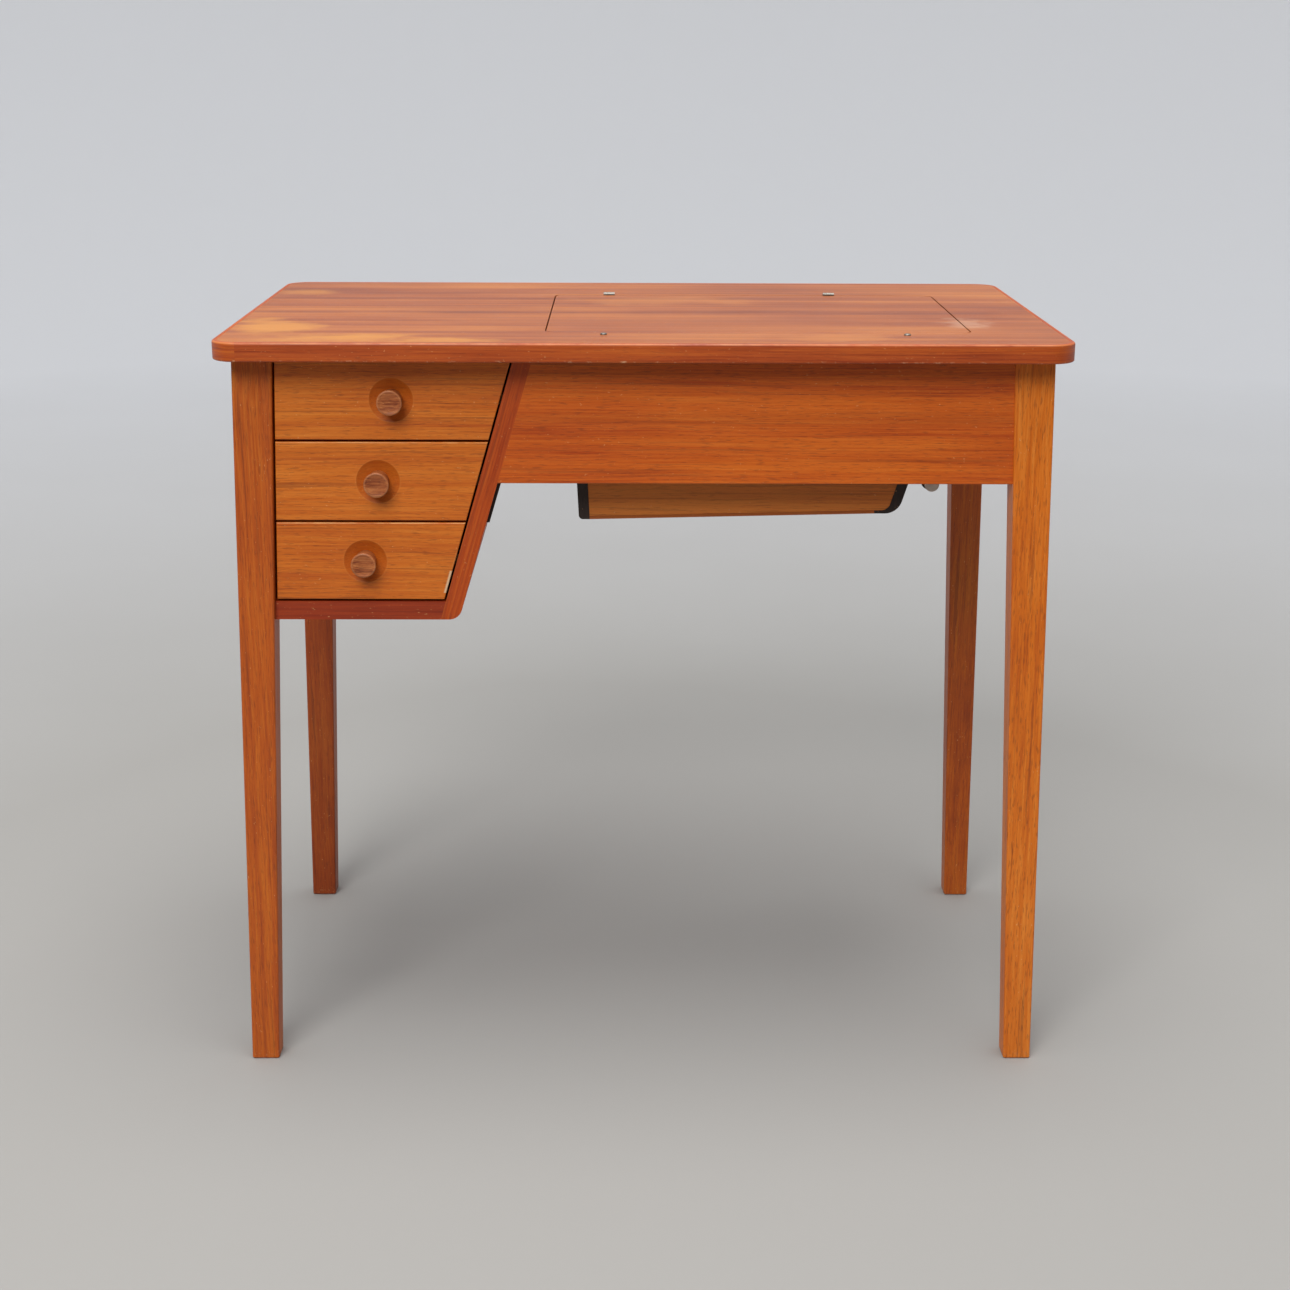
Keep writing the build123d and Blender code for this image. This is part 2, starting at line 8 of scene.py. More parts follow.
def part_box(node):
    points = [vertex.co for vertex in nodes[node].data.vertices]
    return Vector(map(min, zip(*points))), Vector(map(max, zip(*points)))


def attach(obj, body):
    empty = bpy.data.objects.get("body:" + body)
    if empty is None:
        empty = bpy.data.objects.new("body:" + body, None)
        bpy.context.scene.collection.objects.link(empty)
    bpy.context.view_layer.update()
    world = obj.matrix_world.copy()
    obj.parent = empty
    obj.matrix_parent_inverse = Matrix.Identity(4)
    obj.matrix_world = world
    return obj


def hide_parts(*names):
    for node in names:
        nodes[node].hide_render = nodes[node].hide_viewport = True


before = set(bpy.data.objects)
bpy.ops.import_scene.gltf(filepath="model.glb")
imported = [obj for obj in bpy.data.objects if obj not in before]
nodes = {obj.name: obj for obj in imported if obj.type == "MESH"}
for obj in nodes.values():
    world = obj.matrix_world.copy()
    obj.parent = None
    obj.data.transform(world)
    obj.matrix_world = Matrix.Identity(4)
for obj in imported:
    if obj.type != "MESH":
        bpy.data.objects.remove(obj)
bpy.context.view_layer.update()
scene = bpy.context.scene
scene.view_settings.view_transform = "Standard"
print("frame loaded:", len(nodes), "nodes")


def toLinear(hexColour):
    # sRGB hex to linear red, green, blue and alpha
    channels = [int(hexColour[i:i + 2], 16) / 255 for i in (1, 3, 5)]
    return [c / 12.92 if c <= 0.04045 else ((c + 0.055) / 1.055) ** 2.4 for c in channels] + [1.0]


def addNode(tree, kind, settings=None, inputs=(), stops=None, output=None):
    # one node: its settings, then its inputs, named or in the order it shows them, each fed by a
    # socket or set to a value; it gives back the output asked for, or the first one in use
    node = tree.nodes.new("ShaderNode" + kind)
    for name, value in (settings or {}).items():
        setattr(node, name, value)
    if isinstance(inputs, dict):
        pairs = [(node.inputs[key], value) for key, value in inputs.items()]
    else:
        pairs = zip([socket for socket in node.inputs if socket.enabled], inputs)
    for socket, value in pairs:
        if isinstance(value, bpy.types.NodeSocket):
            tree.links.new(value, socket)
        else:
            socket.default_value = toLinear(value) if isinstance(value, str) else value
    if stops:
        ramp = node.color_ramp
        while len(ramp.elements) < len(stops):
            ramp.elements.new(0.5)
        for element, (place, colour) in zip(ramp.elements, stops):
            element.position = place
            element.color = toLinear(colour)
    return node.outputs[output] if output else next(socket for socket in node.outputs if socket.enabled)


def startMaterial(name, shaderInputs):
    # an empty node material with its output and its Principled shader
    material = bpy.data.materials.new(name)
    material.use_nodes = True
    tree = material.node_tree
    tree.nodes.clear()
    surface = addNode(tree, "BsdfPrincipled", None, shaderInputs)
    outlet = tree.nodes.new("ShaderNodeOutputMaterial")
    tree.links.new(surface, outlet.inputs["Surface"])
    return material, tree, surface.node


def finishShader(tree, shader, colour, roughness, height, finish):
    # the colour, the roughness and a bump of a real height go into the shader
    bump = addNode(tree, "Bump", None, {
        "Height": height, "Strength": finish["bumpShare"], "Distance": finish["bumpMm"] / 1000})
    tree.links.new(colour, shader.inputs["Base Color"])
    tree.links.new(roughness, shader.inputs["Roughness"])
    tree.links.new(bump, shader.inputs["Normal"])


# The detail and the roughness of each kind of pattern
patterns = {
    "pored": (1.0, 0.5), "specked": (1.0, 0.4), "lined": (2.0, 0.5), "soft": (2.0, 0.55),
    "mottled": (3.0, 0.55), "banded": (3.0, 0.6), "cloudy": (4.0, 0.6), "fibrous": (4.0, 0.62),
    "broken": (4.0, 0.65), "ragged": (5.0, 0.6),
}


def grainNoise(tree, place, sizeMm, pattern):
    # a pattern with one size along the grain and one across it
    along, across = 1000 / sizeMm[0], 1000 / sizeMm[1]
    detail, rough = patterns[pattern]
    stretched = addNode(tree, "Mapping", None, {"Vector": place, "Scale": (along, across, across)})
    return addNode(tree, "TexNoise", None, {
        "Vector": stretched, "Scale": 1.0, "Detail": detail, "Roughness": rough})


# The settings that several nodes share
mixColours = {"data_type": "RGBA"}
mixNumbers = {"data_type": "FLOAT"}
add = {"operation": "ADD"}
subtract = {"operation": "SUBTRACT"}
multiply = {"operation": "MULTIPLY"}
multiplyAdd = {"operation": "MULTIPLY_ADD"}
dotProduct = {"operation": "DOT_PRODUCT"}
lengthOf = {"operation": "LENGTH"}
smooth = {"interpolation_type": "SMOOTHSTEP"}

# The turns that bring the grain of a board, along X, Y, Z or the leaning panel, onto the pattern's X
leanSlope = 0.2914
grainTurn = {
    "x": (0, 0, 0),
    "y": (0, 0, -math.pi / 2),
    "z": (0, math.pi / 2, 0),
    "lean": (0, math.pi / 2 - math.atan(leanSlope), 0),
}

# Teak, oiled and satin lacquered: straight grain in soft bands, fine fibres, short dark pores and a
# dull gloss. Sizes are in mm along and across the grain. Pores and fibres are really about 0.2 mm wide
# and are drawn wider, so that they show.
teak = {
    "dark": "#7d3312", "middle": "#a8561f", "light": "#c67c38", "middleAt": 0.48,
    "pore": "#5c260f", "speck": "#dda267",
    "bandMm": (900, 15), "fibreMm": (150, 1.6), "cloudMm": (210, 84),
    "shares": (0.34, 0.44, 0.22),  # of bands, fibres and clouds in the tone
    "toneHalf": 0.14,  # how far the tone may be from its middle before it is all dark or all light
    "waveMm": (260, 87), "swayMm": 4,
    "poreMm": (11, 0.8), "lineMm": (420, 3.2), "speckMm": (3.2, 1.5),
    "poreShare": 0.4, "lineShare": 0.35, "speckShare": 0.5, "poreDepth": 1.2,
    "roughness": (0.4, 0.55), "ior": 1.45, "coat": 0.0, "coatRoughness": 0.28,
    "bumpMm": 0.12, "bumpShare": 0.35,
}
fibreSpan = (0.35, 0.65)  # the fibre pattern stays mostly between these
# What lies over the tone: its size, its pattern, where that starts and is full, its share and colour
overlays = [
    ("poreMm", "pored", 0.56, 0.70, "poreShare", "pore"),
    ("lineMm", "lined", 0.60, 0.70, "lineShare", "pore"),
    ("speckMm", "specked", 0.73, 0.80, "speckShare", "speck"),
]


def woodMaterial(name, wood, grain="x", shiftMm=(0, 0, 0), uvMap=None, marks=()):
    # bands, fibres and clouds choose the tone; pores, long lines and specks lie over it; marks are wear,
    # painted highlights and painted shade
    material, tree, shader = startMaterial(name, {
        "IOR": wood["ior"], "Coat Weight": wood["coat"], "Coat Roughness": wood["coatRoughness"]})
    if uvMap:
        source = addNode(tree, "UVMap", {"uv_map": uvMap})
    else:
        source = addNode(tree, "TexCoord", output="Object")
    turned = addNode(tree, "Mapping", None, {"Vector": source, "Rotation": grainTurn[grain]})
    moved = addNode(tree, "Mapping", None, {
        "Vector": turned, "Location": [shift / 1000 for shift in shiftMm]})
    # the grain sways from side to side by a slow pattern
    sway = wood["swayMm"] / 1000
    waves = grainNoise(tree, moved, wood["waveMm"], "soft")
    swing = addNode(tree, "MapRange", None, [waves, 0, 1, -sway, sway])
    sideways = addNode(tree, "CombineXYZ", None, [0, swing, swing])
    place = addNode(tree, "VectorMath", add, [moved, sideways])
    bands = grainNoise(tree, place, wood["bandMm"], "banded")
    fibres = grainNoise(tree, place, wood["fibreMm"], "fibrous")
    clouds = grainNoise(tree, place, wood["cloudMm"], "soft")
    layers = addNode(tree, "CombineXYZ", None, [bands, fibres, clouds])
    mixed = addNode(tree, "VectorMath", dotProduct, [layers, wood["shares"]])
    tone = addNode(tree, "MapRange", None, [mixed, 0.5 - wood["toneHalf"], 0.5 + wood["toneHalf"]])
    colour = addNode(tree, "ValToRGB", None, [tone], [
        (0.0, wood["dark"]), (wood["middleAt"], wood["middle"]), (1.0, wood["light"])])
    masks = []
    for size, pattern, start, full, share, tint in overlays:
        noise = grainNoise(tree, place, wood[size], pattern)
        masks.append(addNode(tree, "MapRange", None, [noise, start, full, 0, wood[share]]))
        colour = addNode(tree, "Mix", mixColours, [masks[-1], colour, wood[tint]])
    roughness = addNode(tree, "MapRange", None, [fibres, *fibreSpan, *wood["roughness"]])
    for mark in marks:
        mask, markColour, markRough = mark(tree, source, fibres)
        colour = addNode(tree, "Mix", mixColours, [mask, colour, markColour])
        roughness = addNode(tree, "Mix", mixNumbers, [mask, roughness, markRough])
    # the pores are sunk below the fibres
    height = addNode(tree, "Math", multiplyAdd, [masks[0], -wood["poreDepth"], fibres])
    finishShader(tree, shader, colour, roughness, height, wood)
    return material


patchEdge = {"stretch": 1.4, "ragged": 3.2, "outer": 1.25, "inner": 0.35}


def patchMark(centreMm, sizeMm, colour, strength, raggedMm=60, rough=0.45):
    # a soft faded place: distance from a point in units of its size, made ragged by noise, which is
    # about a half and so adds half of its strength to the distance
    def build(tree, source, fibres):
        local = addNode(tree, "Mapping", None, {
            "Vector": source, "Scale": [1000 / size for size in sizeMm],
            "Location": [-centre / size for centre, size in zip(centreMm, sizeMm)]})
        away = addNode(tree, "VectorMath", lengthOf, [local])
        noise = grainNoise(tree, source, (raggedMm * patchEdge["stretch"], raggedMm), "ragged")
        ragged = addNode(tree, "Math", multiplyAdd, [noise, patchEdge["ragged"], away])
        outer, inner = (patchEdge["ragged"] / 2 + patchEdge[edge] for edge in ("outer", "inner"))
        soft = addNode(tree, "MapRange", smooth, [ragged, outer, inner, 0, strength])
        streaks = addNode(tree, "Math", add, [fibres, 0.5])
        return addNode(tree, "Math", multiply, [soft, streaks]), colour, rough
    return build


lineFade = 0.2  # how much more noise takes a broken line from its start to its full strength
upward, backward = (0, 0, 1), (0, 1, 0)


def lineMark(direction, atMm, halfMm, colour, strength, rough=0.5, breakMm=25, startAt=0.36, within=None):
    # a line of wear, also used as a painted highlight, where the distance along a direction is near a value,
    # full over its middle third and broken up by noise; it may be kept to a range of distances along another
    # direction
    def build(tree, source, fibres):
        level = addNode(tree, "VectorMath", dotProduct, [source, direction])
        offset = addNode(tree, "Math", subtract, [level, atMm / 1000])
        away = addNode(tree, "Math", {"operation": "ABSOLUTE"}, [offset])
        near = addNode(tree, "MapRange", None, [away, halfMm / 1000, halfMm / 3000, 0, strength])
        noise = grainNoise(tree, source, (breakMm, breakMm), "broken")
        kept = addNode(tree, "MapRange", None, [noise, startAt, startAt + lineFade])
        mask = addNode(tree, "Math", multiply, [near, kept])
        if within:
            reach = addNode(tree, "VectorMath", dotProduct, [source, within[0]])
            middle, half = (within[1] + within[2]) / 2000, (within[2] - within[1]) / 2000
            inside = addNode(tree, "Math", {"operation": "COMPARE"}, [reach, middle, half])
            mask = addNode(tree, "Math", multiply, [mask, inside])
        return mask, colour, rough
    return build


ringFadeMm = (0.6, 0.8)  # the soft edges inside and outside a turned place


def ringMark(centre, innerMm, outerMm, colour, strength, rough=0.45):
    # a turned place facing the front: between two distances from an axis along Y, softly edged
    def build(tree, source, fibres):
        level = addNode(tree, "VectorMath", subtract, [source, centre])
        flat = addNode(tree, "VectorMath", multiply, [level, (1, 0, 1)])
        away = addNode(tree, "VectorMath", lengthOf, [flat])
        outside = addNode(tree, "MapRange", None, [away, (innerMm - ringFadeMm[0]) / 1000, innerMm / 1000])
        inside = addNode(tree, "MapRange", None, [
            away, outerMm / 1000, (outerMm - ringFadeMm[1]) / 1000, 0, strength])
        return addNode(tree, "Math", multiply, [outside, inside]), colour, rough
    return build


# The top and its lid: one sheet of redder teak veneer, lacquered, faded to gold where it was handled.
# A faded place reaches through the board's thickness, so its size along Z is large.
topTeak = {**teak, "dark": "#712e11", "middle": "#9b4f1d", "light": "#b96f2b", "pore": "#64280f",
           "bandMm": (1500, 20), "lineMm": (700, 6), "cloudMm": (260, 104), "shares": (0.42, 0.33, 0.25),
           "toneHalf": 0.119, "poreShare": 0.25, "roughness": (0.4, 0.52), "coat": 0.05}
fadedGold, paleGold, dullGrey, darkStripe = "#c4802c", "#b9702c", "#cfae94", "#64260d"
topMarks = [
    patchMark((-345, -118, 736), (52, 46, 900), fadedGold, 0.75),
    patchMark((-283, -196, 736), (62, 30, 900), fadedGold, 0.8),
    patchMark((-178, -212, 736), (52, 16, 900), fadedGold, 0.7),
    patchMark((-362, 142, 736), (40, 22, 900), fadedGold, 0.5),
    patchMark((30, 70, 736), (90, 30, 900), paleGold, 0.45),
    patchMark((180, -190, 736), (60, 22, 900), paleGold, 0.55),
    patchMark((318, -95, 736), (22, 34, 900), dullGrey, 0.3, raggedMm=16, rough=0.6),
    lineMark(backward, -22, 9, darkStripe, 0.5, rough=0.45, breakMm=240, startAt=0.42),
    lineMark(backward, 95, 6, darkStripe, 0.35, rough=0.45, breakMm=200, startAt=0.45),
]

# Teak veneer on the aprons and side boards: long even bands; one darker band runs along the front apron
apronTeak = {**teak, "dark": "#a83e06", "middle": "#c45707", "light": "#d76d14", "bandMm": (1800, 17)}
apronMarks = [lineMark(upward, 661, 9, "#8c3304", 0.22, rough=0.46, breakMm=300, startAt=0.3)]

# Teak veneer on the drawer fronts: yellower, with closer bands
drawerTeak = {**teak, "dark": "#b2500f", "middle": "#c86714", "light": "#d87c24", "bandMm": (900, 9),
              "fibreMm": (110, 1.4)}

# Solid teak legs, oiled: one is golden, and the back pair are darker copies of the same teak, a painted shade
# for the shadow under the table
legTeak = {**teak, "dark": "#9a3e08", "middle": "#b45208", "light": "#c76a15", "bandMm": (700, 9),
           "fibreMm": (90, 1.6)}
goldLegTeak = {**teak, "dark": "#b65207", "middle": "#d16b0c", "light": "#e18227", "bandMm": (500, 8),
               "fibreMm": (60, 2.0), "poreMm": (10, 1.2)}
# the back legs: painted shade, darkest on the back left and half as much on the back right
paintedShadeLegTeak = {**legTeak, "dark": "#7c2c06", "middle": "#973e07", "light": "#aa5212"}
halfPaintedShadeLegTeak = {**legTeak, "dark": "#933b07", "middle": "#b05008", "light": "#c26712"}
footWear = lineMark(upward, 2, 11, "#c98f5e", 0.8, rough=0.7, breakMm=2.4, startAt=0.56)

# Mahogany, stained and lacquered: redder, with fewer pores
panelMahogany = {**teak, "dark": "#943003", "middle": "#b04502", "light": "#c25a08", "bandMm": (500, 12),
                 "poreShare": 0.25}
floorMahogany = {**panelMahogany, "dark": "#7c2204", "middle": "#983305", "light": "#a9440c"}

# Beech, planed and bare: pale, dull and even, with short flecks
bareBeech = {**teak, "dark": "#b98a5c", "middle": "#cda274", "light": "#dcb88c", "pore": "#a87a4e",
             "bandMm": (500, 14), "poreShare": 0.3, "roughness": (0.5, 0.62), "toneHalf": 0.196}

# Plywood, rotary cut and brown stained: broad figure and little gloss; the well's front is paler
brownPlywood = {**teak, "dark": "#8f4410", "middle": "#a45214", "light": "#b5631f", "bandMm": (600, 20),
                "poreShare": 0.25, "roughness": (0.45, 0.58), "toneHalf": 0.196}
palePlywood = {**brownPlywood, "dark": "#bd6220", "middle": "#d47728", "light": "#e28b36"}

# Softwood board, stained near black: the grain shows only as a dull sheen
stainedBoard = {**teak, "dark": "#1f1511", "middle": "#2c1f18", "light": "#3b2a20", "pore": "#120c09",
                "bandMm": (400, 9), "roughness": (0.5, 0.66)}

# The drawer fronts: a pale line on the top arris that is wear and a painted highlight, a darker line on the
# bottom arris, a worn leaning edge, and in the dish turned round the knob a painted shade with a painted
# highlight on its rim. The right edges lean, and along the direction given they all lie at one distance.
front = {"paleWearAndHighlight": "#e3a560", "edgeBrown": "#7a3510", "arrisMm": 1.5, "leanAcross": (1, 0, -leanSlope),
         "leanEdgeMm": -332.6, "dishPaintedShade": "#ad4c08", "rimPaintedHighlight": "#cd7f38", "dishMm": 21.2,
         "rimMm": (20.6, 22.0)}
anyDepthMm = 1000  # further than any front reaches


def knobCentre(word):
    low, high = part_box(f"drawer_{word}_knob")
    return ((low.x + high.x) / 2, 0, (low.z + high.z) / 2)


def frontMarks(word):
    # level lines are kept to the front arris, as the marks don't reach the edges behind it
    low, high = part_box(f"drawer_{word}_front")
    frontArris = (backward, -anyDepthMm, 1000 * low.y + front["arrisMm"])
    return [
        # the pale top line is wear and a painted highlight on the arris
        lineMark(upward, 1000 * high.z, 1.2, front["paleWearAndHighlight"], 0.75, within=frontArris),
        lineMark(upward, 1000 * low.z, 0.9, front["edgeBrown"], 0.5, within=frontArris),
        lineMark(front["leanAcross"], front["leanEdgeMm"], 1.6, front["paleWearAndHighlight"], 0.45,
                 rough=0.6, breakMm=30, startAt=0.45),
        # a painted shade inside the dish round the knob
        ringMark(knobCentre(word), 0, front["dishMm"], front["dishPaintedShade"], 0.55),
        # a painted highlight on the dish's rim
        ringMark(knobCentre(word), *front["rimMm"], front["rimPaintedHighlight"], 0.22),
    ]


# a chip of bare wood on the leaning edge, between two heights in mm
chip = {"edgeMm": -333.4, "halfMm": 2.2, "colour": "#dab68f", "heightsMm": (491, 513)}
chippedVeneer = lineMark(front["leanAcross"], chip["edgeMm"], chip["halfMm"], chip["colour"], 1.0,
                         rough=0.75, breakMm=8, startAt=0.1, within=(upward, *chip["heightsMm"]))

# Each finish: its wood, the way of its grain, its place in the pattern in mm, its marks of wear, painted
# highlight and painted shade, and its CAD nodes
finishes = {
    "teakTopVeneer": (topTeak, "x", (0, 0, 0), topMarks, ["table_top", "lid"]),
    "teakFrontVeneer": (apronTeak, "x", (310, 0, 40), apronMarks, ["front_apron"]),
    "teakBackVeneer": (apronTeak, "x", (90, 0, 400), (), ["back_apron", "cabinet_back"]),
    "teakSideVeneer": (apronTeak, "y", (500, 0, 90), (), ["right_apron", "cabinet_left_side"]),
    "teakTopDrawer": (drawerTeak, "x", (0, 0, 20), frontMarks("top"), ["drawer_top_front"]),
    "teakMiddleDrawer": (drawerTeak, "x", (140, 0, 310), frontMarks("middle"), ["drawer_middle_front"]),
    "teakBottomDrawer": (drawerTeak, "x", (260, 0, 610), frontMarks("bottom") + [chippedVeneer],
                         ["drawer_bottom_front"]),
    "oiledTeakFrontLeft": (legTeak, "z", (0, 40, 0), [footWear], ["leg_front_left"]),
    "oiledTeakFrontRight": (goldLegTeak, "z", (300, 90, 0), [footWear], ["leg_front_right"]),
    "oiledTeakBackLeft": (paintedShadeLegTeak, "z", (700, 10, 50), [footWear], ["leg_back_left"]),
    "oiledTeakBackRight": (halfPaintedShadeLegTeak, "z", (150, 60, 20), [footWear], ["leg_back_right"]),
    "mahoganyPanel": (panelMahogany, "lean", (0, 30, 0), (), ["leaning_panel"]),
    "mahoganyFloor": (floorMahogany, "x", (80, 0, 70), (), ["cabinet_bottom"]),
    "bareBeechLong": (bareBeech, "x", (0, 0, 0), (), [
        "front_ledge", "back_ledge", "frame_dowels", "corner_blocks", "drawer_top_back",
        "drawer_middle_back", "drawer_bottom_back"]),
    "bareBeechDeep": (bareBeech, "y", (0, 0, 0), (), [
        "left_ledge", "right_ledge", "left_runners", "right_runners", "drawer_top_left_side",
        "drawer_top_right_side", "drawer_middle_left_side", "drawer_middle_right_side",
        "drawer_bottom_left_side", "drawer_bottom_right_side"]),
    "palePlywood": (palePlywood, "x", (0, 0, 60), (), ["well_front"]),
    "brownPlywood": (brownPlywood, "x", (0, 0, 0), (), [
        "well_back", "well_bottom", "drawer_top_bottom", "drawer_middle_bottom", "drawer_bottom_bottom"]),
    "blackStainedBoard": (stainedBoard, "z", (0, 0, 0), (), [
        "well_left_end", "well_right_end", "panel_liner"]),
}


def dress(names, material):
    # each CAD node named takes the material
    for name in names:
        nodes[name].data.materials.clear()
        nodes[name].data.materials.append(material)


for name, (wood, grain, shiftMm, marks, names) in finishes.items():
    dress(names, woodMaterial(name, wood, grain, shiftMm, marks=marks))
print("wood finishes:", len(finishes))

# Mild steel, zinc plated and dulled: cloudy grey with fine scratches. The hook has kept a brighter plating.
zincSteel = {"dark": "#5c5650", "light": "#a19b92", "roughness": (0.36, 0.58), "cloudMm": (6, 6),
             "scratchMm": (3.6, 0.3), "scratchShare": 0.3, "bumpMm": 0.05, "bumpShare": 0.3}
cloudSpan = (0.3, 0.7)  # a cloudy pattern stays mostly between these
hookSteel = {**zincSteel, "dark": "#a8988c", "light": "#e2d5ca", "roughness": (0.5, 0.66)}


def steelMaterial(name, steel):
    # clouds and scratches, by their shares, choose the grey
    material, tree, shader = startMaterial(name, {"Metallic": 1.0})
    source = addNode(tree, "TexCoord", output="Object")
    clouds = grainNoise(tree, source, steel["cloudMm"], "cloudy")
    scratches = grainNoise(tree, source, steel["scratchMm"], "soft")
    tone = addNode(tree, "Mix", mixNumbers, [steel["scratchShare"], clouds, scratches])
    colour = addNode(tree, "ValToRGB", None, [tone], [
        (cloudSpan[0], steel["dark"]), (cloudSpan[1], steel["light"])])
    roughness = addNode(tree, "MapRange", None, [clouds, *cloudSpan, *steel["roughness"]])
    finishShader(tree, shader, colour, roughness, scratches, steel)
    return material


dress(["hinge_table_leaves", "hinge_lid_leaves", "hinge_pins", "hinge_table_screws", "hinge_lid_screws",
       "ledge_screws", "hook_screws", "lid_studs", "drawer_top_knob_screw", "drawer_middle_knob_screw",
       "drawer_bottom_knob_screw"], steelMaterial("zincPlatedSteel", zincSteel))
dress(["machine_hook"], steelMaterial("brightZincSteel", hookSteel))

# Rubber, moulded: near black and dull, with a dusty bloom and a fine pebbled skin
padRubber = {"dark": "#141312", "light": "#2b2927", "bloomSpan": (0.35, 0.75), "bloomMm": (8, 8),
             "pebbleMm": (0.8, 0.8), "roughness": (0.66, 0.8), "ior": 1.52, "bumpMm": 0.1, "bumpShare": 0.4}


def rubberMaterial(name, rubber):
    # a dusty bloom chooses the grey and the roughness; pebbles are the bump
    material, tree, shader = startMaterial(name, {"IOR": rubber["ior"]})
    source = addNode(tree, "TexCoord", output="Object")
    bloom = grainNoise(tree, source, rubber["bloomMm"], "cloudy")
    pebbles = grainNoise(tree, source, rubber["pebbleMm"], "soft")
    colour = addNode(tree, "ValToRGB", None, [bloom], [
        (rubber["bloomSpan"][0], rubber["dark"]), (rubber["bloomSpan"][1], rubber["light"])])
    roughness = addNode(tree, "MapRange", None, [bloom, *cloudSpan, *rubber["roughness"]])
    finishShader(tree, shader, colour, roughness, pebbles, rubber)
    return material


dress(["hook_pad"], rubberMaterial("blackRubber", padRubber))
print("steel and rubber done")

mergeWithin = 1e-7  # points at a pole, in metres


def gridMesh(name, points, closeU=False, closeV=False, uv=None):
    # a surface from an array of points, rows by columns, joined into quads; it may close either way,
    # and points that meet at a pole are merged
    rows, columns = points.shape[:2]
    i, j = np.meshgrid(np.arange(rows if closeU else rows - 1), np.arange(columns if closeV else columns - 1),
                       indexing="ij")
    corners = [(i, j), (i + 1, j), (i + 1, j + 1), (i, j + 1)]
    quads = np.stack([(a % rows) * columns + b % columns for a, b in corners], -1)
    mesh = bpy.data.meshes.new(name)
    mesh.from_pydata(points.reshape(-1, 3).tolist(), [], quads.reshape(-1, 4).tolist())
    if uv:
        values = np.stack([uv(a, b) for a, b in corners], -2).astype(np.float32)
        mesh.uv_layers.new(name="alongAround").data.foreach_set("uv", values.reshape(-1))
    work = bmesh.new()
    work.from_mesh(mesh)
    bmesh.ops.remove_doubles(work, verts=work.verts, dist=mergeWithin)
    bmesh.ops.recalc_face_normals(work, faces=work.faces)
    work.to_mesh(mesh)
    work.free()
    mesh.polygons.foreach_set("use_smooth", [True] * len(mesh.polygons))
    mesh.update()
    piece = bpy.data.objects.new(name, mesh)
    scene.collection.objects.link(piece)
    return piece


# The lipping: solid teak, lacquered, redder than the top, with a painted highlight along its top arris, and
# chipped below.
# Its pattern lies along its length and, in the Y direction, round its section from the top arris.
lipping = {"width": 0.005, "corner": 0.025, "topRound": 0.0022, "bottomRound": 0.0016, "alongStep": 0.004,
           "arcPoints": 7, "facePoints": 9, "dent": 0.00075, "dentAt": 0.55, "dentReach": 0.0015,
           "dentWithin": 0.003, "turns": (211, 83, 37.7), "phases": (0, 1.7, 0.4)}
lippingTeak = {**teak, "dark": "#812a0a", "middle": "#a8460e", "light": "#bf5c12", "bandMm": (700, 9),
               "poreShare": 0.3}
lippingMarks = [
    # a painted highlight along the top arris, then chips of bare wood along the bottom arris
    lineMark(backward, 1.7, 1.5, "#cf8850", 0.45, rough=0.42, breakMm=40),
    lineMark(backward, 18.4, 1.6, "#e2b88c", 0.9, rough=0.7, breakMm=10, startAt=0.56),
]


def roundedPath(halfX, halfY, radius, step):
    # a rounded rectangle walked anticlockwise from the front: points, outward directions and way walked;
    # straight sides and quarter circles take turns, and each point's leg follows from the way
    quarter = radius * np.pi / 2
    lengths = np.array([2 * (halfX - radius), quarter, 2 * (halfY - radius), quarter] * 2)
    starts = np.concatenate([[0], np.cumsum(lengths)])
    total = starts[-1]
    count = int(total / step)
    way = np.arange(count) * total / count
    leg = np.searchsorted(starts, way, side="right") - 1
    local = way - starts[leg]
    side, onArc = leg // 2, leg % 2 == 1
    heading = side * np.pi / 2 + np.where(onArc, local / radius, 0)
    outward = np.stack([np.sin(heading), -np.cos(heading)], -1)
    centres = np.array([[halfX - radius, radius - halfY], [halfX - radius, halfY - radius],
                        [radius - halfX, halfY - radius], [radius - halfX, radius - halfY]])
    along = np.stack([np.cos(side * np.pi / 2), np.sin(side * np.pi / 2)], -1)
    back = np.where(onArc, 0, local - lengths[leg])[:, None] * along
    return centres[side] + back + radius * outward, outward, way, total


def lippingSection(plan, low, high):
    # inset from the outer edge and height round the strip: quarter circles at both outer arrises
    turn = np.linspace(0, np.pi / 2, plan["arcPoints"])
    top, bottom = plan["topRound"], plan["bottomRound"]
    upper = np.stack([top - top * np.sin(turn), high - top + top * np.cos(turn)], -1)
    heights = np.linspace(high - top, low + bottom, plan["facePoints"] + 2)[1:-1]
    face = np.stack([0 * heights, heights], -1)
    lower = np.stack([bottom - bottom * np.cos(turn), low + bottom - bottom * np.sin(turn)], -1)
    return np.concatenate([upper, face, lower, [[plan["width"], low], [plan["width"], high]]])


lipLow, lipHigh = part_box("edge_lipping")
path, outward, way, total = roundedPath(lipHigh.x, lipHigh.y, lipping["corner"], lipping["alongStep"])
section = lippingSection(lipping, lipLow.z, lipHigh.z)
